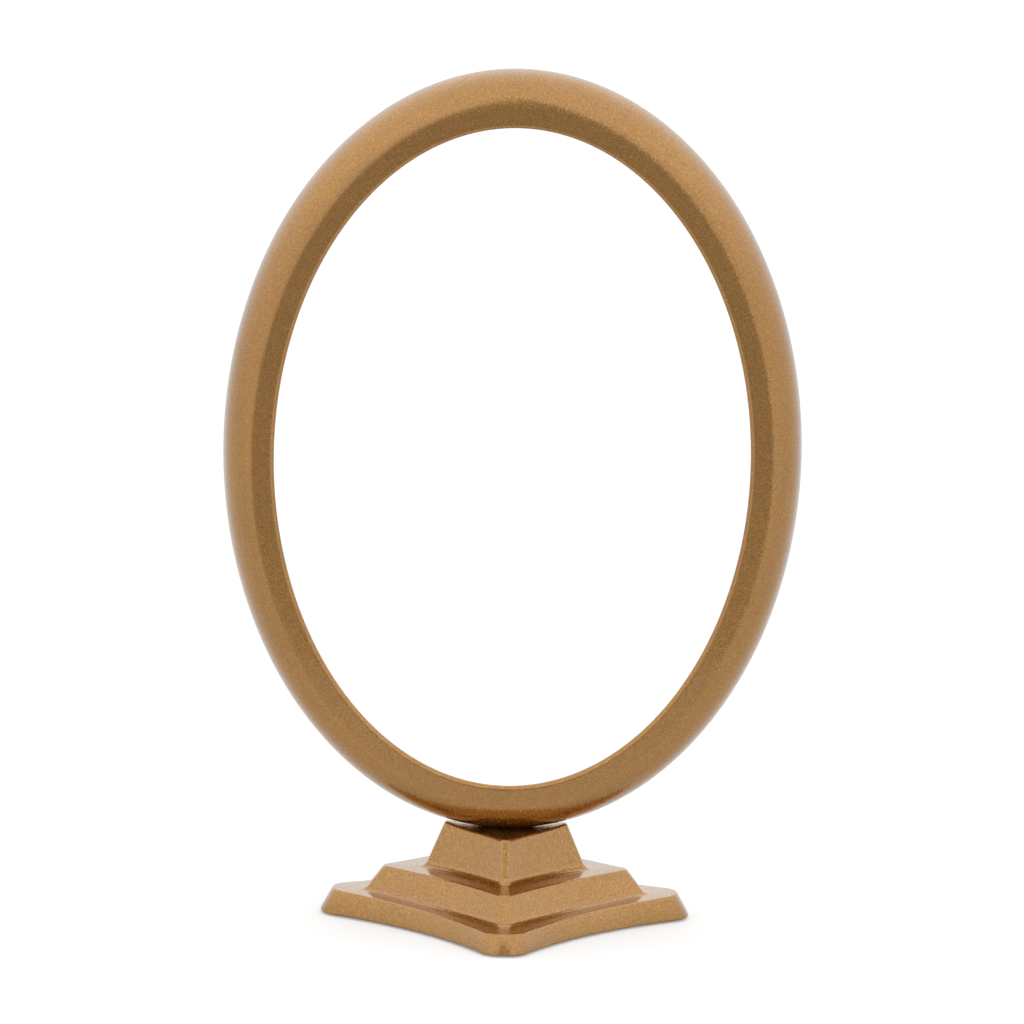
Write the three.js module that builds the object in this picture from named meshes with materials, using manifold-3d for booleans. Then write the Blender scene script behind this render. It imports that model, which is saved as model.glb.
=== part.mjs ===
// Wreath frame: an upright oval ring on a three-step plinth.
// Millimetres, +Z up, the front towards -Y. The origin is on the floor, under the plinth's centre.
// The ring is a hollow moulding closed at the back by a flat cover. Two screws hold its foot down
// on the plinth, which is a hollow moulding too, with a ballast block inside and a plate below.

import * as THREE from "three";
import { mergeVertices } from "three/addons/utils/BufferGeometryUtils.js";
import Module from "manifold-3d";

const wasm = await Module();
wasm.setup();

// ---- Ring: overall sizes and section ----
const RING_WIDTH = 271; // outer width of the oval
const RING_HEIGHT = 364; // outer height of the oval
const FACE_WIDTH = 24; // from the inner edge to the outer edge, seen from the front
const FRONT_DEPTH = 21.4; // from the widest line forward to the front lip
const BACK_DEPTH = 6.5; // from the widest line back to the rear face
const LIP_WIDTH = 9.4; // flat band next to the inner edge
const LIP_RADIUS = 2.1; // half-round of the inner edge
const BACK_ROUND = 3.75; // how far the outer edge turns in towards the rear face
const INNER_DRAFT = 15; // degrees by which the inner wall opens towards the rear
const RING_WALL = 2.4;
const COVER_THICKNESS = 2;
const COVER_LEDGE = 1.2; // width of the shell's rim beside the cover
const COVER_SHELF = 1; // width of the shelf that the cover rests on, all round
const COVER_GAP = 0.15; // clearance round the cover
const RING_SETBACK = 3; // widest line of the ring, behind the plinth's centre
const FOOT_FLAT = 0.6; // how much of the ring's lowest edge is cut flat to sit on the seat
const FOOT_BLOCK_HALF_ANGLE = 9; // degrees of the oval that the block fills each side of the foot
const FOOT_BLOCK_GAP = 0.3; // clearance of the block inside the ring

// ---- Plinth: each step has a foot and a rim, both concave squares that stand on a corner ----
// tip: centre to corner. waist: centre to the middle of a side. Each corner is cut off by a narrow
// face, facet wide to each side of its middle, that rounds into the sides with tipRadius.
const RIM_HEIGHT = 0.8; // lower edge of the plinth above the floor, on its pads
const SEAT_HEIGHT = 42.6; // top of the plinth, where the ring stands
const SEAT_FOLLOW = 0.65; // share of the ring's own rise by which the seat's left and right corners turn up
const STEP_UPTURN = 2.2; // how far the lowest step's left and right corners turn up
const SEAT_MARGIN = 1; // level stretch of the seat beyond each end of the ring's flat foot
const TIERS = [
  {
    top: 9.9,
    foot: { tip: 86.2, waist: 58.6, facet: 1.6, tipRadius: 11 },
    rim: { tip: 80.6, waist: 54.5, facet: 1.4, tipRadius: 9.5 },
  },
  {
    top: 22.9,
    foot: { tip: 65.6, waist: 45.4, facet: 1.1, tipRadius: 2.8 },
    rim: { tip: 56.8, waist: 39.3, facet: 1.1, tipRadius: 2.4 },
  },
  {
    top: SEAT_HEIGHT,
    foot: { tip: 37.5, waist: 26, facet: 1, tipRadius: 2.2 },
    rim: { tip: 28.3, waist: 19.5, facet: 1, tipRadius: 1.9 },
  },
];
const FILLET_RADIUS = 5.5; // where a wall runs into the step below it
const EDGE_RADIUS = 2; // rounded upper edge of each step
const SOLE_RADIUS = 0.8; // rounded lower edge of the plinth
const LEAST_ROUNDING = 0.4; // a moved outline keeps this share of its corner's roundness at least
const PLINTH_WALL = 2.6;
const SEAT_WALL = 4;

// ---- Inside the plinth ----
const PLATE_RECESS = 1.2; // base plate above the plinth's lower edge
const PLATE_THICKNESS = 2;
const PLATE_GAP = 0.3; // clearance of the plate in its opening
const BALLAST_GAP = 1; // clearance round the ballast block
const BALLAST_CHAMFER = 1.5;
const PAD_RADIUS = 6;
const PAD_EDGE = 0.4; // rounded lower edge of a pad
const PAD_CENTRE = 56; // from the plinth's centre
const BOSS_RADIUS = 3.6;
const BOSS_CENTRE = 69; // from the plinth's centre

// ---- Fasteners ----
const RING_SCREW = { radius: 2, length: 21, headRadius: 3.8, headHeight: 2.6 };
const RING_SCREW_SPREAD = 22; // distance between the two screws
const WASHER = { radius: 5, thickness: 1 };
const BASE_SCREW = { radius: 1.25, length: 6, headRadius: 2.6, headHeight: 0.9 };
const HOLE_GAP = 0.3; // clearance round a screw
const TOUCH = 0.02; // gap between faces that bear on each other
const OVERCUT = 1; // how far a cut runs past the face it opens

// ---- Fineness of the curves ----
const RING_STEPS = 84; // round the oval
const LIP_STEPS = 4;
const CROWN_STEPS = 8;
const REAR_STEPS = 4;
const HOLLOW_STEPS = 6;
const FOOT_BLOCK_STEPS = 12;
const TIP_STEPS = 3; // half a corner of the plinth
const SIDE_STEPS = 6;
const ARC_STEPS = 3; // a fillet or a rounded edge of the plinth
const SEAT_STEPS = 4;
const ROUND_STEPS = 16; // a turned piece

// ---- Sizes that follow ----
const radians = THREE.MathUtils.degToRad;
const INNER_HALF_WIDTH = RING_WIDTH / 2 - FACE_WIDTH;
const INNER_HALF_HEIGHT = RING_HEIGHT / 2 - FACE_WIDTH;
const RING_CENTRE = SEAT_HEIGHT - FOOT_FLAT + RING_HEIGHT / 2;
const DRAFT_SLOPE = Math.tan(radians(INNER_DRAFT));
const FOOT_SHARE = 1 - (2 * FOOT_FLAT) / RING_HEIGHT; // depth of the flat foot, of the oval's half height
const FOOT_HALF_LENGTH = (RING_WIDTH / 2) * Math.sqrt(1 - FOOT_SHARE ** 2);
const SEAT_UPTURN = SEAT_FOLLOW * ringRiseAt(TIERS[2].rim.tip);
const REAR_INNER = innerWallAt(BACK_DEPTH, 0); // inner edge of the ring's rear face
const REAR_OUTER = FACE_WIDTH - BACK_ROUND; // outer edge of the ring's rear face
const REBATE_FLOOR = BACK_DEPTH - COVER_THICKNESS; // where the cover rests
const PLATE_BOTTOM = RIM_HEIGHT + PLATE_RECESS;
const PLATE_TOP = PLATE_BOTTOM + PLATE_THICKNESS;
const SEAT_UNDERSIDE = SEAT_HEIGHT - SEAT_WALL;
const CORNERS = { front: [0, -1], right: [1, 0], back: [0, 1], left: [-1, 0] };

const GOLD = new THREE.MeshStandardMaterial({ color: 0xb08d5e, roughness: 0.3, metalness: 0.6 });
const BLACK_PLASTIC = new THREE.MeshStandardMaterial({ color: 0x1d1c1b, roughness: 0.6 });
const IRON = new THREE.MeshStandardMaterial({ color: 0x3b3a39, roughness: 0.7, metalness: 0.9 });
const ZINC = new THREE.MeshStandardMaterial({ color: 0xb9bcc0, roughness: 0.35, metalness: 1 });
const BEECH = new THREE.MeshStandardMaterial({ color: 0xc8a070, roughness: 0.7 });
const RUBBER = new THREE.MeshStandardMaterial({ color: 0x232120, roughness: 0.85 });

// ---------------------------------------------------------------- meshes

// A closed surface over rows of points: each row joins the next, and every row has the same length.
// closed: the last row joins the first. Otherwise flat caps close the first and last rows.
function skin(rows, closed) {
  const perRow = rows[0].length;
  const index = [];
  const bands = closed ? rows.length : rows.length - 1;
  for (let i = 0; i < bands; i++) {
    const here = i * perRow;
    const next = ((i + 1) % rows.length) * perRow;
    for (let j = 0; j < perRow; j++) {
      const k = (j + 1) % perRow;
      index.push(here + j, here + k, next + k, here + j, next + k, next + j);
    }
  }
  if (!closed) {
    const last = (rows.length - 1) * perRow;
    for (const [a, b, c] of capTriangles(rows[0])) index.push(c, b, a);
    for (const [a, b, c] of capTriangles(rows.at(-1))) index.push(last + a, last + b, last + c);
  }
  const geometry = new THREE.BufferGeometry().setFromPoints(rows.flat());
  geometry.setIndex(index);
  return geometry;
}

// Triangles over a flat or nearly flat row, in the row's own turning sense.
function capTriangles(row) {
  const normal = new THREE.Vector3();
  row.forEach((p, i) => normal.add(p.clone().cross(row[(i + 1) % row.length])));
  const across = new THREE.Vector3().subVectors(row[1], row[0]).normalize();
  const up = new THREE.Vector3().crossVectors(normal.normalize(), across).normalize();
  const flat = row.map((p) => new THREE.Vector2(p.dot(across), p.dot(up)));
  return THREE.ShapeUtils.triangulateShape(flat, []);
}

function solid(geometry) {
  const bare = geometry.clone();
  bare.deleteAttribute("normal");
  bare.deleteAttribute("uv");
  const merged = mergeVertices(bare, 1e-4);
  return new wasm.Manifold(
    new wasm.Mesh({
      numProp: 3,
      vertProperties: merged.attributes.position.array,
      triVerts: new Uint32Array(merged.index.array),
    }),
  );
}

function surface(body) {
  const mesh = body.getMesh();
  const geometry = new THREE.BufferGeometry();
  geometry.setAttribute("position", new THREE.BufferAttribute(mesh.vertProperties, 3));
  geometry.setIndex(new THREE.BufferAttribute(mesh.triVerts, 1));
  geometry.computeVertexNormals();
  return geometry;
}

// An upright cylinder between two heights, at x and y.
function post(radius, bottom, top, x, y) {
  const geometry = new THREE.CylinderGeometry(radius, radius, top - bottom, ROUND_STEPS);
  geometry.rotateX(Math.PI / 2);
  geometry.translate(x, y, (bottom + top) / 2);
  return solid(geometry);
}

const model = new THREE.Group();

function addPart(name, geometry, material) {
  const mesh = new THREE.Mesh(geometry, material);
  mesh.name = name;
  model.add(mesh);
  return mesh;
}

// ---------------------------------------------------------------- ring

// A point of the ring: s outwards from the inner edge, y back from the widest line, at angle t.
function ringPoint(s, y, t) {
  return new THREE.Vector3(
    (INNER_HALF_WIDTH + s) * Math.cos(t),
    RING_SETBACK + y,
    RING_CENTRE + (INNER_HALF_HEIGHT + s) * Math.sin(t),
  );
}

// The closed section swept right round the oval.
function ringSweep(section) {
  const rows = [];
  for (let i = 0; i < RING_STEPS; i++) {
    const t = (i / RING_STEPS) * 2 * Math.PI;
    rows.push(section.map(([s, y]) => ringPoint(s, y, t)));
  }
  return skin(rows, true);
}

// The same section over a short stretch each side of the foot.
function ringStretch(section, halfAngle, steps) {
  const rows = [];
  for (let i = 0; i <= steps; i++) {
    const t = -Math.PI / 2 + halfAngle * ((2 * i) / steps - 1);
    rows.push(section.map(([s, y]) => ringPoint(s, y, t)));
  }
  return skin(rows, false);
}

// Points on a quarter ellipse from angle a to angle b, in degrees; 0 points outwards, 90 backwards.
function ellipseArc(s, y, radiusS, radiusY, a, b, steps) {
  const points = [];
  for (let i = 0; i <= steps; i++) {
    const angle = radians(a + ((b - a) * i) / steps);
    points.push([s + radiusS * Math.cos(angle), y + radiusY * Math.sin(angle)]);
  }
  return points;
}

// How far the ring's lowest line stands above its flat foot, at a distance to the side.
function ringRiseAt(x) {
  const share = Math.sqrt(1 - ((2 * x) / RING_WIDTH) ** 2);
  return (RING_HEIGHT / 2) * (1 - share) - FOOT_FLAT;
}

// Where the inner wall, moved outwards by the inset, passes the depth y.
function innerWallAt(y, inset) {
  return (y + FRONT_DEPTH - LIP_RADIUS) * DRAFT_SLOPE + inset / Math.cos(radians(INNER_DRAFT));
}

// Outside of the ring's section: half-round inner edge, flat lip, crown, rear face.
function ringOutline() {
  const lipDepth = LIP_RADIUS - FRONT_DEPTH;
  return [
    ...ellipseArc(LIP_RADIUS, lipDepth, LIP_RADIUS, LIP_RADIUS, 180 - INNER_DRAFT, 270, LIP_STEPS),
    ...ellipseArc(LIP_WIDTH, 0, FACE_WIDTH - LIP_WIDTH, FRONT_DEPTH, -90, 0, CROWN_STEPS),
    ...ellipseArc(REAR_OUTER, 0, BACK_ROUND, BACK_DEPTH, 0, 90, REAR_STEPS).slice(1),
    [REAR_INNER, BACK_DEPTH],
  ];
}

// The hollow inside the section: a wall and a gap in from the outline, and open to a depth behind
// the shelf that the cover rests on.
function hollowOutline(gap, depth) {
  const inset = RING_WALL + gap;
  const crown = FACE_WIDTH - LIP_WIDTH - inset;
  return [
    [innerWallAt(inset - FRONT_DEPTH, inset), inset - FRONT_DEPTH],
    ...ellipseArc(LIP_WIDTH, 0, crown, FRONT_DEPTH - inset, -90, 0, HOLLOW_STEPS),
    [REAR_OUTER - COVER_LEDGE - COVER_SHELF - gap, depth],
    [REAR_INNER + COVER_LEDGE + COVER_SHELF + gap, depth],
  ];
}

// The flat cover, or without a gap its rebate in the ring.
function coverOutline(gap, back) {
  const inner = REAR_INNER + COVER_LEDGE + gap;
  const outer = REAR_OUTER - COVER_LEDGE - gap;
  const front = REBATE_FLOOR + gap;
  return [[inner, front], [outer, front], [outer, back], [inner, back]];
}

const RING_SCREW_PLACES = { left: -RING_SCREW_SPREAD / 2, right: RING_SCREW_SPREAD / 2 };

// The body with the two ring screws' holes cut in it, from under the seat up to a height.
function withRingScrewHoles(body, radius, top) {
  for (const x of Object.values(RING_SCREW_PLACES)) {
    body = body.subtract(post(radius, SEAT_UNDERSIDE - OVERCUT, top, x, RING_SETBACK));
  }
  return body;
}

function ringShell() {
  let body = solid(ringSweep(ringOutline()));
  body = body.subtract(solid(ringSweep(hollowOutline(0, REBATE_FLOOR + OVERCUT))));
  body = body.subtract(solid(ringSweep(coverOutline(0, BACK_DEPTH + OVERCUT))));
  const belowSeat = new THREE.BoxGeometry(RING_WIDTH, RING_WIDTH, 2 * SEAT_HEIGHT);
  body = body.subtract(solid(belowSeat.translate(0, 0, TOUCH)));
  const insideFoot = SEAT_HEIGHT + 2 * RING_WALL;
  return surface(withRingScrewHoles(body, RING_SCREW.radius + HOLE_GAP, insideFoot));
}

function ringFootBlock() {
  const outline = hollowOutline(FOOT_BLOCK_GAP, REBATE_FLOOR - FOOT_BLOCK_GAP);
  const body = solid(ringStretch(outline, radians(FOOT_BLOCK_HALF_ANGLE), FOOT_BLOCK_STEPS));
  return surface(withRingScrewHoles(body, RING_SCREW.radius + TOUCH, SEAT_UNDERSIDE + RING_SCREW.length));
}

// ---------------------------------------------------------------- plinth

// A square on its corner with sides hollowed by an arc and corners cut off by a facet.
function cornerSquare({ tip, waist, facet, tipRadius }) {
  const tipCentre = tip - tipRadius;
  const lean = Math.SQRT2 * (tipCentre + facet);
  const rise = tipRadius ** 2 - waist ** 2 + lean * waist - tipCentre ** 2 - facet ** 2;
  const sideRadius = rise / (2 * waist - lean - 2 * tipRadius);
  const sideCentre = (waist + sideRadius) / Math.SQRT2;
  const join = Math.atan2(sideCentre - facet, sideCentre - tipCentre); // where a corner meets a side
  const sideHalfAngle = join - radians(45);
  const points = [];
  for (let quarter = 0; quarter < 4; quarter++) {
    const turn = (quarter * Math.PI) / 2;
    const add = (centreX, centreY, radius, angle) => {
      const point = new THREE.Vector2(centreX + radius * Math.cos(angle), centreY + radius * Math.sin(angle));
      points.push(point.rotateAround(new THREE.Vector2(), turn));
    };
    for (let i = -TIP_STEPS; i <= 0; i++) {
      add(tipCentre, -facet, tipRadius, (join * i) / TIP_STEPS);
    }
    for (let i = 0; i < TIP_STEPS; i++) {
      add(tipCentre, facet, tipRadius, (join * i) / TIP_STEPS);
    }
    for (let i = 0; i < SIDE_STEPS; i++) {
      const angle = radians(225) + sideHalfAngle * (1 - (2 * i) / SIDE_STEPS);
      add(sideCentre, sideCentre, sideRadius, angle);
    }
  }
  return points;
}

// An outline moved outwards by a distance, or inwards where it is negative.
function grown(outline, by) {
  return {
    tip: outline.tip + by,
    waist: outline.waist + by,
    facet: outline.facet,
    tipRadius: Math.max(outline.tipRadius + by, LEAST_ROUNDING * outline.tipRadius),
  };
}

// A row of the plinth's surface: an outline at a height.
function level(outline, z) {
  return cornerSquare(outline).map((p) => new THREE.Vector3(p.x, p.y, z));
}

function prism(outline, bottom, top) {
  return solid(skin([level(outline, bottom), level(outline, top)], false));
}

// The rows of one step, from the hollow fillet at its foot to its rounded upper edge.
function tierRows(tier, base, lowest) {
  const rows = [];
  const rise = Math.atan2(tier.top - base, tier.foot.tip - tier.rim.tip);
  const narrowing = (tier.foot.waist - tier.rim.waist) / (tier.foot.tip - tier.rim.tip);
  const offset = (outline, by, wallSide) => ({
    tip: outline.tip + by,
    waist: outline.waist + by * (wallSide ? narrowing : 1),
    facet: outline.facet,
    tipRadius: Math.max(outline.tipRadius + by / 2, outline.tipRadius / 2),
  });
  if (lowest) {
    for (let i = 0; i <= ARC_STEPS; i++) {
      const angle = (Math.PI / 2) * (i / ARC_STEPS);
      const inward = SOLE_RADIUS * (1 - Math.sin(angle));
      rows.push(level(grown(tier.foot, -inward), base + SOLE_RADIUS * (1 - Math.cos(angle))));
    }
  } else {
    const reach = FILLET_RADIUS * Math.tan(rise / 2);
    for (let i = 0; i <= ARC_STEPS; i++) {
      const angle = rise * (i / ARC_STEPS);
      const by = reach - FILLET_RADIUS * Math.sin(angle);
      rows.push(level(offset(tier.foot, by, by < 0), base + FILLET_RADIUS * (1 - Math.cos(angle))));
    }
  }
  const reach = EDGE_RADIUS * Math.tan(rise / 2);
  for (let i = ARC_STEPS; i >= 0; i--) {
    const angle = rise * (i / ARC_STEPS);
    const by = EDGE_RADIUS * Math.sin(angle) - reach;
    rows.push(level(offset(tier.rim, by, by > 0), tier.top - EDGE_RADIUS * (1 - Math.cos(angle))));
  }
  return rows;
}

// The seat is level under the ring's flat foot and turns up towards its left and right corners.
function seatRise(x) {
  const levelHalf = FOOT_HALF_LENGTH + SEAT_MARGIN;
  const beyond = Math.max(0, Math.abs(x) - levelHalf);
  return SEAT_UPTURN * (beyond / (TIERS[2].rim.tip - levelHalf)) ** 2;
}

// The lowest step turns up a little towards its left and right corners. The wall above it takes this up.
function stepRise(x, z) {
  const [lowest, middle] = TIERS;
  const below = (z - RIM_HEIGHT) / (lowest.top - RIM_HEIGHT);
  const above = Math.max(0, (middle.top - z) / (middle.top - lowest.top));
  return STEP_UPTURN * Math.min(below, above) * (x / lowest.rim.tip) ** 2;
}

function plinthBody() {
  const rows = [];
  TIERS.forEach((tier, i) => {
    const base = i ? TIERS[i - 1].top : RIM_HEIGHT;
    rows.push(...tierRows(tier, base, i === 0));
  });
  const seat = Object.entries(TIERS[2].rim);
  for (let i = SEAT_STEPS - 1; i > 0; i--) {
    const shrunk = Object.fromEntries(seat.map(([name, size]) => [name, (size * i) / SEAT_STEPS]));
    rows.push(level(shrunk, SEAT_HEIGHT));
  }
  for (const row of rows) {
    for (const p of row) {
      const nearTop = THREE.MathUtils.smoothstep(p.z, TIERS[1].top, SEAT_HEIGHT);
      p.z += nearTop * seatRise(p.x) + stepRise(p.x, p.z);
    }
  }
  return solid(skin(rows, false));
}

function plinthShell() {
  let body = plinthBody();
  const ceilings = [TIERS[0].top - PLINTH_WALL, TIERS[1].top - PLINTH_WALL, SEAT_UNDERSIDE];
  TIERS.forEach((tier, i) => {
    body = body.subtract(prism(grown(tier.rim, -PLINTH_WALL), RIM_HEIGHT - OVERCUT, ceilings[i]));
  });
  for (const [x, y] of Object.values(CORNERS)) {
    const top = ceilings[0] + OVERCUT;
    body = body.add(post(BOSS_RADIUS, PLATE_TOP + TOUCH, top, x * BOSS_CENTRE, y * BOSS_CENTRE));
  }
  for (const [x, y] of Object.values(CORNERS)) {
    const top = PLATE_BOTTOM + BASE_SCREW.length + HOLE_GAP;
    const hole = post(BASE_SCREW.radius + TOUCH, PLATE_BOTTOM, top, x * BOSS_CENTRE, y * BOSS_CENTRE);
    body = body.subtract(hole);
  }
  return surface(withRingScrewHoles(body, RING_SCREW.radius + HOLE_GAP, SEAT_HEIGHT + SEAT_UPTURN));
}

function basePlate() {
  let body = prism(grown(TIERS[0].rim, -PLINTH_WALL - PLATE_GAP), PLATE_BOTTOM, PLATE_TOP);
  for (const [x, y] of Object.values(CORNERS)) {
    const radius = BASE_SCREW.radius + HOLE_GAP;
    body = body.subtract(post(radius, RIM_HEIGHT, PLATE_TOP + OVERCUT, x * BOSS_CENTRE, y * BOSS_CENTRE));
  }
  return surface(body);
}

function ballastBlock() {
  const outline = grown(TIERS[1].rim, -PLINTH_WALL - BALLAST_GAP);
  const bottom = PLATE_TOP + TOUCH;
  const top = TIERS[1].top - PLINTH_WALL - BALLAST_GAP;
  const eased = grown(outline, -BALLAST_CHAMFER);
  return skin(
    [
      level(eased, bottom),
      level(outline, bottom + BALLAST_CHAMFER),
      level(outline, top - BALLAST_CHAMFER),
      level(eased, top),
    ],
    false,
  );
}

// ---------------------------------------------------------------- turned pieces

// A turned piece from a profile of [radius, height] pairs that starts and ends on the axis.
function turned(profile) {
  const points = profile.map(([r, z]) => new THREE.Vector2(r, z));
  return new THREE.LatheGeometry(points, ROUND_STEPS).rotateX(Math.PI / 2);
}

// A pan-head screw that points up, its head's bearing face at height 0.
function screw({ radius, length, headRadius, headHeight }) {
  const socket = headRadius / 2;
  const socketFloor = -headHeight / 2;
  const rounding = headHeight / 3;
  return turned([
    [0, socketFloor],
    [socket, socketFloor],
    [socket, -headHeight],
    [headRadius - rounding, -headHeight],
    [headRadius, rounding - headHeight],
    [headRadius, 0],
    [radius, 0],
    [radius, length - radius],
    [radius / 2, length],
    [0, length],
  ]);
}

function washer() {
  const disc = post(WASHER.radius, 0, WASHER.thickness, 0, 0);
  const hole = post(RING_SCREW.radius + HOLE_GAP, -OVERCUT, WASHER.thickness + OVERCUT, 0, 0);
  return surface(disc.subtract(hole));
}

function footPad() {
  const height = PLATE_BOTTOM - TOUCH;
  return turned([
    [0, 0],
    [PAD_RADIUS - PAD_EDGE, 0],
    [PAD_RADIUS, PAD_EDGE],
    [PAD_RADIUS, height],
    [0, height],
  ]);
}

// ---------------------------------------------------------------- assembly

addPart("ring_shell", ringShell(), GOLD);
addPart("ring_back_cover", ringSweep(coverOutline(COVER_GAP, BACK_DEPTH)), GOLD);
addPart("ring_foot_block", ringFootBlock(), BEECH);
addPart("plinth_shell", plinthShell(), GOLD);
addPart("ballast_block", ballastBlock(), IRON);
addPart("base_plate", basePlate(), BLACK_PLASTIC);

for (const [side, x] of Object.entries(RING_SCREW_PLACES)) {
  const washerTop = SEAT_UNDERSIDE - TOUCH;
  const bearing = washerTop - WASHER.thickness - TOUCH;
  addPart(`ring_washer_${side}`, washer(), ZINC).position.set(x, RING_SETBACK, washerTop - WASHER.thickness);
  addPart(`ring_screw_${side}`, screw(RING_SCREW), ZINC).position.set(x, RING_SETBACK, bearing);
}

for (const [corner, [x, y]] of Object.entries(CORNERS)) {
  const head = addPart(`base_screw_${corner}`, screw(BASE_SCREW), ZINC);
  head.position.set(x * BOSS_CENTRE, y * BOSS_CENTRE, PLATE_BOTTOM - TOUCH);
  addPart(`foot_pad_${corner}`, footPad(), RUBBER).position.set(x * PAD_CENTRE, y * PAD_CENTRE, 0);
}

export default model;
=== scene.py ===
"""Wreath frame: the looks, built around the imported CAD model.

Metres, +Z up, the front towards -Y, as in the model. Sizes of the object are written in millimetres
and scaled once, in build_mesh(). The oval ring, its back cover and the plinth are made again in fine
steps from the same sections as the model. The other pieces keep the model's own shapes.
"""

import math

import bmesh
import bpy
from mathutils import Matrix, Vector


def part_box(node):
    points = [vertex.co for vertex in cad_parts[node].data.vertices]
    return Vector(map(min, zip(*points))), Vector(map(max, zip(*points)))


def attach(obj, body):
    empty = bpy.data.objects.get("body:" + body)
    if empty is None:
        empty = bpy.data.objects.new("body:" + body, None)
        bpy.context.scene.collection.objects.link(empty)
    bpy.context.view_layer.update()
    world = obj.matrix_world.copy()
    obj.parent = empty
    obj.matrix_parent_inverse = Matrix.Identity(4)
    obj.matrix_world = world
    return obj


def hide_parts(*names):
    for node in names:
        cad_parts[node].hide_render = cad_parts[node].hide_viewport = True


MM = 0.001

# ---- Ring section, in millimetres: s outwards from the inner edge, y back from the widest line ----
FACE_WIDTH = 24.0
FRONT_DEPTH = 21.4
BACK_DEPTH = 6.5
LIP_WIDTH = 9.4
LIP_RADIUS = 2.1
BACK_ROUND = 3.75
INNER_DRAFT = math.radians(15)
RING_WALL = 2.4
COVER_THICKNESS = 2.0
COVER_LEDGE = 1.2
COVER_SHELF = 1.0
COVER_GAP = 0.15
RING_SETBACK = 3.0
FOOT_FLAT = 0.6
CORNER_EASE = 0.35
CORNER_MIDDLE = 0.14  # depth of the middle point of the eased rear corner

# ---- Plinth: the concave squares at the foot and the rim of each step ----
# Each is (centre to corner, centre to the middle of a side, half width of the corner's facet,
# radius between the facet and the side).
RIM_HEIGHT = 0.8
SEAT_HEIGHT = 42.6
SEAT_FOLLOW = 0.65  # share of the ring's own rise by which the seat's corners turn up
TIERS = (
    {"top": 9.9, "foot": (86.2, 58.6, 1.6, 11.0), "rim": (80.6, 54.5, 1.4, 9.5)},
    {"top": 22.9, "foot": (65.6, 45.4, 1.1, 2.8), "rim": (56.8, 39.3, 1.1, 2.4)},
    {"top": SEAT_HEIGHT, "foot": (37.5, 26.0, 1.0, 2.2), "rim": (28.3, 19.5, 1.0, 1.9)},
)
STEP_UPTURN = 2.2  # how far the lowest step's left and right corners turn up
SEAT_MARGIN = 1.0  # level stretch of the seat beyond each end of the ring's flat foot
FILLET_RADIUS = 5.5
EDGE_RADIUS = 2.0
SOLE_RADIUS = 0.8
PLINTH_WALL = 2.6
SEAT_WALL = 4.0
LEAST_ROUNDING = 0.4  # a moved outline keeps this share of its corner's roundness at least
CORNER_FOLLOW = 0.5  # share of a wall's offset that the radius at its corners takes on
TOUCH = 0.02  # the ring stands this far above the seat

# ---- Fineness of the curves ----
RING_STEPS = 384
CROWN_STEPS = 28
LIP_STEPS = 12
LIP_FLAT_STEPS = 6
REAR_STEPS = 12
HOLLOW_STEPS = 12
TIP_STEPS = 14
SIDE_STEPS = 36
ARC_STEPS = 9
SEAT_STEPS = 20
SHARP_ANGLE = math.radians(50)

# ---- Gold paint: linear colours, and sizes in metres ----
GOLD_GROUND = (0.37, 0.150, 0.020, 1)
GOLD_FLAKE = (0.455, 0.236, 0.060, 1)
# colour of the painted glint: a painted highlight mixed into the base colour of a few flakes
GOLD_PAINTED_GLINT = (0.90, 0.68, 0.38, 1)
FLAKE_SIZE = 0.00040
FLAKE_TILT = 0.15
FLAKE_CHANCE = (0.18, 0.42)  # a cell's chance value, from bare ground to full flake
FLAKE_SHADE = (0.86, 1.14)
FLAKE_ROUGHNESS = (0.14, 0.24)
GROUND_METAL = 0.25
PAINTED_GLINT_CHANCE = 0.96  # cells above this value get a painted glint: a bright gold mixed into their base colour
PAINTED_GLINT_SHARE = 0.22
CLOUD_SHADE = (0.965, 1.035)
CLOUD_RANGE = (0.3, 0.7)  # where most values of a noise lie

# ---- Camera and room, in metres ----
VIEW_ELEVATION = math.radians(13.3)
VIEW_ROLL = math.radians(1.0)
VIEW_DISTANCE = 20.0
VIEW_WIDTH = 0.4796
VIEW_TARGET = (0.0003, 0.0, 0.1940)
SENSOR_WIDTH = 36.0
FLOOR_SIDE = 40.0
FLOOR_FRONT = 0.55  # how far the floor reaches in front of the object
FLOOR_TONE = 0.70
FLOOR_CLOUD = 0.99  # the darkest tone of the floor, as a share of its lightest
FLOOR_GLOW = 0.32  # seen by the camera only
LOW_LIGHT = 0.86  # the walls' light near the floor
ROOM_LIGHT = 1.14  # the walls' light higher up
ROOM_RISE = (0, 30)  # elevations in degrees between which the walls brighten
DARK_LIGHT = 0.41  # the unlit side of the room, where the camera stands
DARK_LOW = (-14, 15)  # the dark side narrows upwards like a tent's opening: at the lower of
DARK_HIGH = (45, 3)  # these elevations it has the wider half width, each pair in degrees
DARK_TOP = (38, 48)  # elevations between which it ends
DARK_SOFTNESS = 3


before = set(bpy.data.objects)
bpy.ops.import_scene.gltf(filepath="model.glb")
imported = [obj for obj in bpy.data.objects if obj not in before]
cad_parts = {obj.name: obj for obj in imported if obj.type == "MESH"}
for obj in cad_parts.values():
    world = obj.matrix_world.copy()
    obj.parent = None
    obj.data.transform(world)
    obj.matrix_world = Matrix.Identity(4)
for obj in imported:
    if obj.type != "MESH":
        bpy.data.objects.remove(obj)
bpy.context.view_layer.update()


# ---------------------------------------------------------------- meshes


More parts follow.
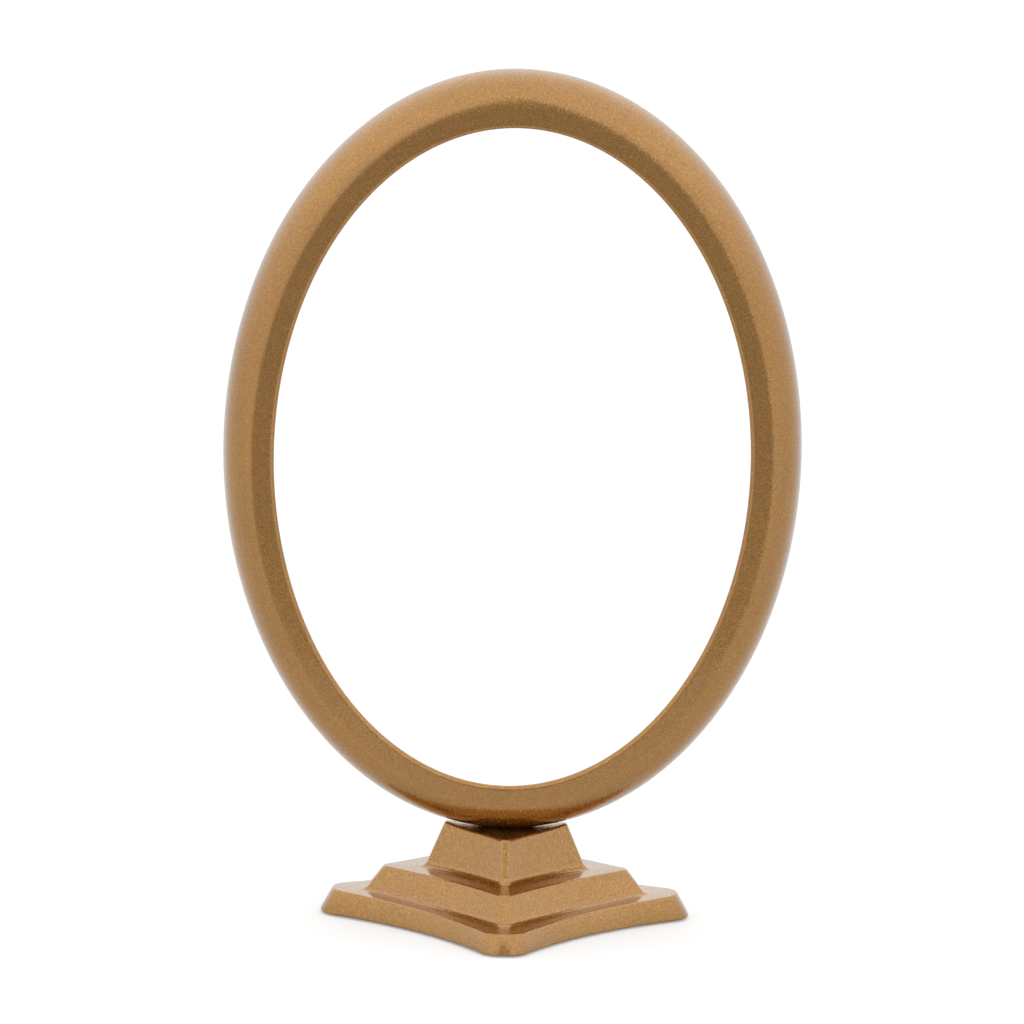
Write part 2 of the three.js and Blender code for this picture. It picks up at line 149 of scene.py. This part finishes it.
def build_mesh(name, rows, closed):
    """A skin over rows of points in millimetres. Closed, it joins in a loop. Open, flat caps end it."""
    mesh = bmesh.new()
    grid = [[mesh.verts.new(Vector(p) * MM) for p in row] for row in rows]
    count = len(grid)
    for i in range(count if closed else count - 1):
        here, after = grid[i], grid[(i + 1) % count]
        for j in range(len(here)):
            k = (j + 1) % len(here)
            mesh.faces.new((here[j], here[k], after[k], after[j]))
    if not closed:
        mesh.faces.new(list(reversed(grid[0])))
        mesh.faces.new(grid[-1])
    bmesh.ops.recalc_face_normals(mesh, faces=mesh.faces)
    data = bpy.data.meshes.new(name)
    mesh.to_mesh(data)
    mesh.free()
    data.shade_smooth()
    data.set_sharp_from_angle(angle=SHARP_ANGLE)
    piece = bpy.data.objects.new(name, data)
    bpy.context.scene.collection.objects.link(piece)
    return piece


def place(piece, node, material):
    """The piece stands for the CAD node, with its own material."""
    piece.data.materials.append(material)
    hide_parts(node)
    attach(piece, "root")


# ---------------------------------------------------------------- ring


def ring_half_sizes():
    """Half width and half height of the ring's inner edge, and its centre's height, in millimetres."""
    low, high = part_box("ring_shell")
    half_width = (high.x - low.x) / 2 / MM - FACE_WIDTH
    top = high.z / MM
    centre = (top + SEAT_HEIGHT - FOOT_FLAT) / 2
    return half_width, top - centre - FACE_WIDTH, centre


HALF_WIDTH, HALF_HEIGHT, RING_CENTRE = ring_half_sizes()


def ellipse_arc(s, y, radius_s, radius_y, start, end, steps):
    """Points of an elliptic arc between two angles in degrees. 0 points outwards, 90 backwards."""
    points = []
    for i in range(steps + 1):
        angle = math.radians(start + (end - start) * i / steps)
        points.append((s + radius_s * math.cos(angle), y + radius_y * math.sin(angle)))
    return points


def inner_wall_at(y, inset):
    """Where the inner wall, moved outwards by the inset, passes the depth y."""
    return (y + FRONT_DEPTH - LIP_RADIUS) * math.tan(INNER_DRAFT) + inset / math.cos(INNER_DRAFT)


def shell_section():
    """The ring's shell, open at the back for its cover."""
    rear_inner = inner_wall_at(BACK_DEPTH, 0)
    rear_outer = FACE_WIDTH - BACK_ROUND
    floor = BACK_DEPTH - COVER_THICKNESS
    bead = 180 - math.degrees(INNER_DRAFT)
    crown = FACE_WIDTH - LIP_WIDTH
    radius = LIP_RADIUS
    outside = ellipse_arc(radius, radius - FRONT_DEPTH, radius, radius, bead, 270, LIP_STEPS)
    for i in range(1, LIP_FLAT_STEPS):
        outside.append((radius + (LIP_WIDTH - radius) * i / LIP_FLAT_STEPS, -FRONT_DEPTH))
    outside += ellipse_arc(LIP_WIDTH, 0, crown, FRONT_DEPTH, -90, 0, CROWN_STEPS)
    outside += ellipse_arc(rear_outer, 0, BACK_ROUND, BACK_DEPTH, 0, 90, REAR_STEPS)[1:]
    rim = [
        (rear_outer - COVER_LEDGE, BACK_DEPTH),
        (rear_outer - COVER_LEDGE, floor),
        (rear_outer - COVER_LEDGE - COVER_SHELF, floor),
    ]
    depth = FRONT_DEPTH - RING_WALL
    hollow = ellipse_arc(LIP_WIDTH, 0, crown - RING_WALL, depth, 0, -90, HOLLOW_STEPS)
    hollow.append((inner_wall_at(-depth, RING_WALL), -depth))
    shelf = [
        (rear_inner + COVER_LEDGE + COVER_SHELF, floor),
        (rear_inner + COVER_LEDGE, floor),
        (rear_inner + COVER_LEDGE, BACK_DEPTH),
    ]
    corner = [
        (rear_inner + CORNER_EASE, BACK_DEPTH),
        (rear_inner, BACK_DEPTH - CORNER_MIDDLE),
        (inner_wall_at(BACK_DEPTH - CORNER_EASE, 0), BACK_DEPTH - CORNER_EASE),
    ]
    return outside + rim + hollow + shelf + corner


def cover_section():
    """The flat cover in the rebate of the shell's back."""
    inner = inner_wall_at(BACK_DEPTH, 0) + COVER_LEDGE + COVER_GAP
    outer = FACE_WIDTH - BACK_ROUND - COVER_LEDGE - COVER_GAP
    front = BACK_DEPTH - COVER_THICKNESS + COVER_GAP
    ease = CORNER_EASE
    return [
        (inner, front),
        (outer, front),
        (outer, BACK_DEPTH - ease),
        (outer - ease, BACK_DEPTH),
        (inner + ease, BACK_DEPTH),
        (inner, BACK_DEPTH - ease),
    ]


def ring_sweep(name, section):
    """The section carried round the oval, with its lowest stretch flat where it stands on the plinth."""
    rows = []
    for i in range(RING_STEPS):
        angle = 2 * math.pi * i / RING_STEPS
        row = []
        for s, y in section:
            x = (HALF_WIDTH + s) * math.cos(angle)
            z = RING_CENTRE + (HALF_HEIGHT + s) * math.sin(angle)
            row.append((x, RING_SETBACK + y, max(z, SEAT_HEIGHT + TOUCH)))
        rows.append(row)
    return build_mesh(name, rows, True)


# ---------------------------------------------------------------- plinth


def corner_square(tip, waist, facet, tip_radius):
    """A square on its corner with sides hollowed by an arc and corners cut off by a facet."""

    def on_circle(x, y, radius, angle):
        return x + radius * math.cos(angle), y + radius * math.sin(angle)

    tip_centre = tip - tip_radius
    lean = math.sqrt(2) * (tip_centre + facet)
    rise = tip_radius**2 - waist**2 + lean * waist - tip_centre**2 - facet**2
    side_radius = rise / (2 * waist - lean - 2 * tip_radius)
    side_centre = (waist + side_radius) / math.sqrt(2)
    join = math.atan2(side_centre - facet, side_centre - tip_centre)
    side_half = join - math.pi / 4
    corner = []
    for i in range(-TIP_STEPS, 1):
        corner.append(on_circle(tip_centre, -facet, tip_radius, join * i / TIP_STEPS))
    for i in range(TIP_STEPS):
        corner.append(on_circle(tip_centre, facet, tip_radius, join * i / TIP_STEPS))
    for i in range(SIDE_STEPS):
        angle = math.pi * 1.25 + side_half * (1 - 2 * i / SIDE_STEPS)
        corner.append(on_circle(side_centre, side_centre, side_radius, angle))
    points = []
    for cos, sin in ((1, 0), (0, 1), (-1, 0), (0, -1)):
        points += [(x * cos - y * sin, x * sin + y * cos) for x, y in corner]
    return points


def grown(outline, by):
    """The outline moved outwards by a distance, or inwards where it is negative."""
    tip, waist, facet, tip_radius = outline
    return tip + by, waist + by, facet, max(tip_radius + by, LEAST_ROUNDING * tip_radius)


def level(outline, z):
    """The outline's points at one height."""
    return [(x, y, z) for x, y in corner_square(*outline)]


def wall_offset(tier, outline, by, wall_side):
    """An outline of a step's wall near its foot or rim, following the wall's slope on that side."""
    tip, waist, facet, tip_radius = outline
    foot, rim = tier["foot"], tier["rim"]
    narrowing = (foot[1] - rim[1]) / (foot[0] - rim[0]) if wall_side else 1
    radius = max(tip_radius + by * CORNER_FOLLOW, tip_radius * CORNER_FOLLOW)
    return tip + by, waist + by * narrowing, facet, radius


def tier_rows(tier, base, lowest):
    """Rows of one step, from the hollow fillet at its foot to its rounded upper edge."""
    rows = []
    rise = math.atan2(tier["top"] - base, tier["foot"][0] - tier["rim"][0])
    for i in range(ARC_STEPS + 1):
        share = i / ARC_STEPS
        if lowest:
            angle = math.pi / 2 * share
            outline = grown(tier["foot"], -SOLE_RADIUS * (1 - math.sin(angle)))
            rows.append(level(outline, base + SOLE_RADIUS * (1 - math.cos(angle))))
        else:
            by = FILLET_RADIUS * (math.tan(rise / 2) - math.sin(rise * share))
            outline = wall_offset(tier, tier["foot"], by, by < 0)
            rows.append(level(outline, base + FILLET_RADIUS * (1 - math.cos(rise * share))))
    for i in range(ARC_STEPS, -1, -1):
        angle = rise * i / ARC_STEPS
        by = EDGE_RADIUS * (math.sin(angle) - math.tan(rise / 2))
        outline = wall_offset(tier, tier["rim"], by, by > 0)
        rows.append(level(outline, tier["top"] - EDGE_RADIUS * (1 - math.cos(angle))))
    return rows


def seat_rise(x):
    """The seat is level under the ring's foot and turns up towards its left and right corners."""
    half_width = HALF_WIDTH + FACE_WIDTH
    half_height = HALF_HEIGHT + FACE_WIDTH
    tip = TIERS[2]["rim"][0]
    level_half = half_width * math.sqrt(1 - (1 - FOOT_FLAT / half_height) ** 2) + SEAT_MARGIN
    upturn = SEAT_FOLLOW * (half_height * (1 - math.sqrt(1 - (tip / half_width) ** 2)) - FOOT_FLAT)
    return upturn * (max(0, abs(x) - level_half) / (tip - level_half)) ** 2


def step_rise(x, z):
    """The lowest step turns up towards its left and right corners. The wall above it takes this up."""
    lowest, middle = TIERS[:2]
    below = (z - RIM_HEIGHT) / (lowest["top"] - RIM_HEIGHT)
    above = max(0, (middle["top"] - z) / (middle["top"] - lowest["top"]))
    return STEP_UPTURN * min(below, above) * (x / lowest["rim"][0]) ** 2


def smooth_step(value, low, high):
    """From 0 at the low value to 1 at the high one, level at both ends."""
    share = min(max((value - low) / (high - low), 0), 1)
    return share * share * (3 - 2 * share)


def lifted(x, y, z):
    """A point of the plinth's outside, raised where the seat or the lowest step turns up."""
    near_top = smooth_step(z, TIERS[1]["top"], SEAT_HEIGHT)
    lift = near_top * seat_rise(x) + step_rise(x, z)
    return x, y, z + lift


def hollow_rows():
    """The plinth's hollow inside, from its ceiling down to the lower edge."""
    ceilings = [tier["top"] - PLINTH_WALL for tier in TIERS]
    ceilings[-1] = SEAT_HEIGHT - SEAT_WALL
    floors = [RIM_HEIGHT] + ceilings[:-1]
    rows = []
    for tier, ceiling, bottom in reversed(list(zip(TIERS, ceilings, floors))):
        outline = grown(tier["rim"], -PLINTH_WALL)
        rows += [level(outline, ceiling), level(outline, bottom)]
    return rows


def step_rows():
    """The plinth's outside, from its lower edge up to the seat and in to the seat's middle."""
    outside = []
    base = RIM_HEIGHT
    for tier in TIERS:
        outside += tier_rows(tier, base, tier is TIERS[0])
        base = tier["top"]
    seat = TIERS[2]["rim"]
    for i in range(SEAT_STEPS - 1, 0, -1):
        outside.append(level([size * i / SEAT_STEPS for size in seat], SEAT_HEIGHT))
    return [[lifted(*point) for point in row] for row in outside]


# ---------------------------------------------------------------- materials


class Nodes:
    """A node tree, filled by short calls."""

    def __init__(self, tree, coordinates):
        self.tree = tree
        self.coordinates = self.add("TexCoord").outputs[coordinates]

    def add(self, kind, settings=None, inputs=None):
        made = self.tree.nodes.new("ShaderNode" + kind)
        for key, value in (settings or {}).items():
            setattr(made, key, value)
        for key, value in (inputs or {}).items():
            self.set(made.inputs[key], value)
        return made

    def set(self, socket, value):
        if isinstance(value, bpy.types.NodeSocket):
            self.tree.links.new(value, socket)
        else:
            socket.default_value = value

    def noise(self, scale, detail=2.0, rough=0.5, stretch=None):
        vector = self.coordinates
        if stretch:
            vector = self.add("Mapping", None, {"Vector": vector, "Scale": stretch}).outputs["Vector"]
        inputs = {"Vector": vector, "Scale": scale, "Detail": detail, "Roughness": rough}
        return self.add("TexNoise", None, inputs).outputs["Fac"]

    def math(self, operation, a, b=0.0):
        return self.add("Math", {"operation": operation}, {0: a, 1: b}).outputs[0]

    def ramp(self, value, low, high):
        return self.remap(value, low, high, 0.0, 1.0)

    def remap(self, value, low, high, to_low, to_high):
        inputs = {"Value": value, "From Min": low, "From Max": high, "To Min": to_low, "To Max": to_high}
        return self.add("MapRange", None, inputs).outputs["Result"]

    def grey(self, value):
        return self.add("CombineColor", None, {0: value, 1: value, 2: value}).outputs[0]

    def mix(self, factor, a, b, blend="MIX"):
        made = self.add("Mix", {"data_type": "RGBA", "blend_type": blend})
        self.set(made.inputs["Factor"], factor)
        self.set(made.inputs[6], a)
        self.set(made.inputs[7], b)
        return made.outputs[2]

    def bump(self, height, strength, distance):
        inputs = {"Height": height, "Strength": strength, "Distance": distance}
        return self.add("Bump", None, inputs).outputs["Normal"]


class Material(Nodes):
    """A new material around a Principled shader."""

    def __init__(self, name):
        self.material = bpy.data.materials.new(name)
        self.material.use_nodes = True
        super().__init__(self.material.node_tree, "Object")
        self.shader = self.tree.nodes["Principled BSDF"]

    def finish(self, **values):
        for key, value in values.items():
            self.set(self.shader.inputs[key.replace("_", " ")], value)
        return self.material


def gold_paint():
    """Gold flakes in an orange-brown ground, under a gloss clear coat. A cell is a flake or bare ground,
    and a few cells carry a painted highlight, a bright gold in the base colour.
    """
    n = Material("gold_flake_paint")
    cells = n.add("TexVoronoi", None, {"Vector": n.coordinates, "Scale": 1.0 / FLAKE_SIZE})
    chance = n.add("SeparateColor", None, {"Color": cells.outputs["Color"]})
    cloud = n.noise(scale=28.0, detail=3.0)
    flake = n.ramp(chance.outputs[1], *FLAKE_CHANCE)
    shade = n.remap(chance.outputs[0], 0.0, 1.0, *FLAKE_SHADE)
    shade = n.math("MULTIPLY", shade, n.remap(cloud, *CLOUD_RANGE, *CLOUD_SHADE))
    base = n.mix(flake, GOLD_GROUND, GOLD_FLAKE)
    base = n.mix(1.0, base, n.grey(shade), "MULTIPLY")
    # Painted highlight: a few random cells get a bright gold mixed into the base colour, as a painted
    # glint.
    painted_glint = n.math("GREATER_THAN", chance.outputs[2], PAINTED_GLINT_CHANCE)
    base = n.mix(n.math("MULTIPLY", painted_glint, PAINTED_GLINT_SHARE), base, GOLD_PAINTED_GLINT)
    return n.finish(
        Base_Color=base,
        Metallic=n.remap(flake, 0.0, 1.0, GROUND_METAL, 1.0),
        Roughness=n.remap(chance.outputs[0], 0.0, 1.0, *FLAKE_ROUGHNESS),
        Normal=tilted_flakes(n, cells.outputs["Color"]),
        Coat_Weight=1.0,
        Coat_Roughness=0.02,
        Coat_IOR=1.5,
        Coat_Normal=n.bump(n.noise(scale=420.0, detail=2.0), 0.05, 0.0004),
    )


def tilted_flakes(n, colour):
    """The surface's normal, tipped a little in each flake's own direction."""
    tilt = n.add("VectorMath", {"operation": "SUBTRACT"}, {0: colour, 1: (0.5, 0.5, 0.5)})
    tilt = n.add("VectorMath", {"operation": "SCALE"}, {0: tilt.outputs[0], "Scale": FLAKE_TILT})
    normal = n.add("NewGeometry").outputs["Normal"]
    facing = n.add("VectorMath", {"operation": "ADD"}, {0: normal, 1: tilt.outputs[0]})
    return n.add("VectorMath", {"operation": "NORMALIZE"}, {0: facing.outputs[0]}).outputs[0]


def black_plastic():
    """Moulded plate with a fine spark-eroded grain."""
    n = Material("black_moulded_plastic")
    grain = n.noise(scale=2600.0, detail=3.0, rough=0.6)
    cloud = n.noise(scale=40.0, detail=3.0)
    dark = (0.012, 0.0115, 0.011, 1)
    worn = (0.020, 0.019, 0.018, 1)
    return n.finish(
        Base_Color=n.mix(n.ramp(cloud, *CLOUD_RANGE), dark, worn),
        Roughness=n.remap(grain, *CLOUD_RANGE, 0.50, 0.68),
        Normal=n.bump(grain, 0.25, 0.0002),
    )


def zinc_plate():
    """Bright zinc with a faint blue and yellow bloom."""
    n = Material("zinc_plated_steel")
    bloom = n.noise(scale=160.0, detail=2.0)
    scratches = n.noise(scale=900.0, detail=4.0, rough=0.6, stretch=(1, 1, 6))
    blue = (0.50, 0.53, 0.60, 1)
    yellow = (0.62, 0.59, 0.50, 1)
    return n.finish(
        Base_Color=n.mix(n.ramp(bloom, 0.35, 0.65), blue, yellow),
        Metallic=1.0,
        Roughness=n.remap(scratches, *CLOUD_RANGE, 0.24, 0.42),
        Normal=n.bump(scratches, 0.12, 0.0001),
    )


def rubber():
    """Matt black rubber with dust in its grain."""
    n = Material("matt_rubber")
    grain = n.noise(scale=1800.0, detail=4.0, rough=0.65)
    dust = n.noise(scale=90.0, detail=3.0)
    black = (0.016, 0.015, 0.014, 1)
    dusty = (0.060, 0.057, 0.052, 1)
    return n.finish(
        Base_Color=n.mix(n.remap(dust, 0.45, 0.75, 0.0, 0.5), black, dusty),
        Roughness=n.remap(grain, *CLOUD_RANGE, 0.74, 0.92),
        Normal=n.bump(grain, 0.4, 0.0002),
    )


def cast_iron():
    """Sand-cast iron with an oiled skin."""
    n = Material("cast_iron_skin")
    sand = n.noise(scale=700.0, detail=5.0, rough=0.65)
    rust = n.noise(scale=60.0, detail=4.0, rough=0.6)
    skin = (0.040, 0.038, 0.036, 1)
    brown = (0.110, 0.050, 0.025, 1)
    return n.finish(
        Base_Color=n.mix(n.remap(rust, 0.55, 0.75, 0.0, 0.7), skin, brown),
        Metallic=n.remap(rust, 0.55, 0.75, 0.9, 0.3),
        Roughness=n.remap(sand, *CLOUD_RANGE, 0.55, 0.8),
        Normal=n.bump(sand, 0.6, 0.0005),
    )


def beech():
    """Planed beech with its short dark flecks along X."""
    n = Material("planed_beech")
    grain = n.noise(scale=90.0, detail=5.0, rough=0.6, stretch=(1, 9, 9))
    flecks = n.noise(scale=420.0, detail=2.0, rough=0.5, stretch=(1, 6, 6))
    late_wood = (0.40, 0.235, 0.115, 1)
    early_wood = (0.58, 0.375, 0.205, 1)
    fleck = (0.22, 0.115, 0.055, 1)
    base = n.mix(n.ramp(grain, *CLOUD_RANGE), late_wood, early_wood)
    return n.finish(
        Base_Color=n.mix(n.remap(flecks, 0.62, 0.72, 0.0, 0.6), base, fleck),
        Roughness=n.remap(grain, *CLOUD_RANGE, 0.55, 0.7),
        Normal=n.bump(grain, 0.15, 0.0003),
    )


# ---------------------------------------------------------------- room


def floor():
    """A white floor that glows a little, so that it has no grey horizon."""
    mesh = bmesh.new()
    corners = ((-1, -FLOOR_FRONT), (1, -FLOOR_FRONT), (1, FLOOR_SIDE), (-1, FLOOR_SIDE))
    mesh.faces.new([mesh.verts.new((side * FLOOR_SIDE / 2, y, 0)) for side, y in corners])
    data = bpy.data.meshes.new("floor")
    mesh.to_mesh(data)
    mesh.free()
    piece = bpy.data.objects.new("floor", data)
    bpy.context.scene.collection.objects.link(piece)
    n = Material("pale_floor")
    tone = n.remap(n.noise(scale=3.0), *CLOUD_RANGE, FLOOR_TONE * FLOOR_CLOUD, FLOOR_TONE)
    white = n.finish(
        Base_Color=n.grey(tone),
        Roughness=0.9,
        Emission_Color=(1, 1, 1, 1),
        Emission_Strength=n.math("MULTIPLY", n.add("LightPath").outputs["Is Camera Ray"], FLOOR_GLOW),
    )
    piece.data.materials.append(white)


def room():
    """A white room, darker on the side where the camera stands. The camera itself sees plain white."""
    world = bpy.data.worlds.new("white_room")
    world.use_nodes = True
    bpy.context.scene.world = world
    n = Nodes(world.node_tree, "Generated")
    background = n.tree.nodes["Background"]
    direction = n.add("SeparateXYZ", None, {0: n.coordinates})
    elevation = n.math("DEGREES", n.math("ARCSINE", direction.outputs[2]))
    forward = n.math("MULTIPLY", direction.outputs[1], -1.0)
    aside = n.math("DEGREES", n.math("ARCTAN2", direction.outputs[0], forward))
    aside = n.math("ABSOLUTE", aside)
    half_width = n.remap(elevation, DARK_LOW[0], DARK_HIGH[0], DARK_LOW[1], DARK_HIGH[1])
    inside = n.ramp(n.math("SUBTRACT", half_width, aside), -DARK_SOFTNESS, DARK_SOFTNESS)
    below_top = n.remap(elevation, *DARK_TOP, 1.0, 0.0)
    dark = n.math("MULTIPLY", inside, below_top)
    walls = n.remap(elevation, *ROOM_RISE, LOW_LIGHT, ROOM_LIGHT)
    strength = n.remap(dark, 0.0, 1.0, walls, DARK_LIGHT)
    seen = n.add("LightPath").outputs["Is Camera Ray"]
    strength = n.math("MAXIMUM", strength, seen)
    n.set(background.inputs["Color"], (1.0, 1.0, 1.0, 1))
    n.set(background.inputs["Strength"], strength)


def camera():
    """A long lens far away, rolled by a degree."""
    back = Vector((0, -math.cos(VIEW_ELEVATION), math.sin(VIEW_ELEVATION)))
    data = bpy.data.cameras.new("camera")
    data.sensor_width = SENSOR_WIDTH
    data.lens = SENSOR_WIDTH * VIEW_DISTANCE / VIEW_WIDTH
    data.clip_end = 4 * FLOOR_SIDE
    eye = bpy.data.objects.new("camera", data)
    eye.location = Vector(VIEW_TARGET) + back * VIEW_DISTANCE
    turned = (-back).to_track_quat("-Z", "Y").to_matrix() @ Matrix.Rotation(VIEW_ROLL, 3, "Z")
    eye.rotation_euler = turned.to_euler()
    bpy.context.scene.collection.objects.link(eye)
    bpy.context.scene.camera = eye


# ---------------------------------------------------------------- assembly


def dress_node(node, material):
    """A CAD node whose shape stays gets its finished material."""
    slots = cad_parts[node].data.materials
    slots.clear()
    slots.append(material)


def assemble():
    """The painted mouldings made again in fine steps, and the finishes of the pieces they hide."""
    gold = gold_paint()
    place(ring_sweep("ring_shell_fine", shell_section()), "ring_shell", gold)
    place(ring_sweep("ring_back_cover_fine", cover_section()), "ring_back_cover", gold)
    plinth = build_mesh("plinth_shell_fine", hollow_rows() + step_rows(), False)
    place(plinth, "plinth_shell", gold)
    zinc = zinc_plate()
    finishes = {
        "ring_foot_block": beech(),
        "ballast_block": cast_iron(),
        "base_plate": black_plastic(),
        "ring_screw": zinc,
        "ring_washer": zinc,
        "base_screw": zinc,
        "foot_pad": rubber(),
    }
    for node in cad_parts:
        for stem, material in finishes.items():
            if node.startswith(stem):
                dress_node(node, material)


camera()
room()
floor()
assemble()
bpy.context.scene.view_settings.view_transform = "Standard"
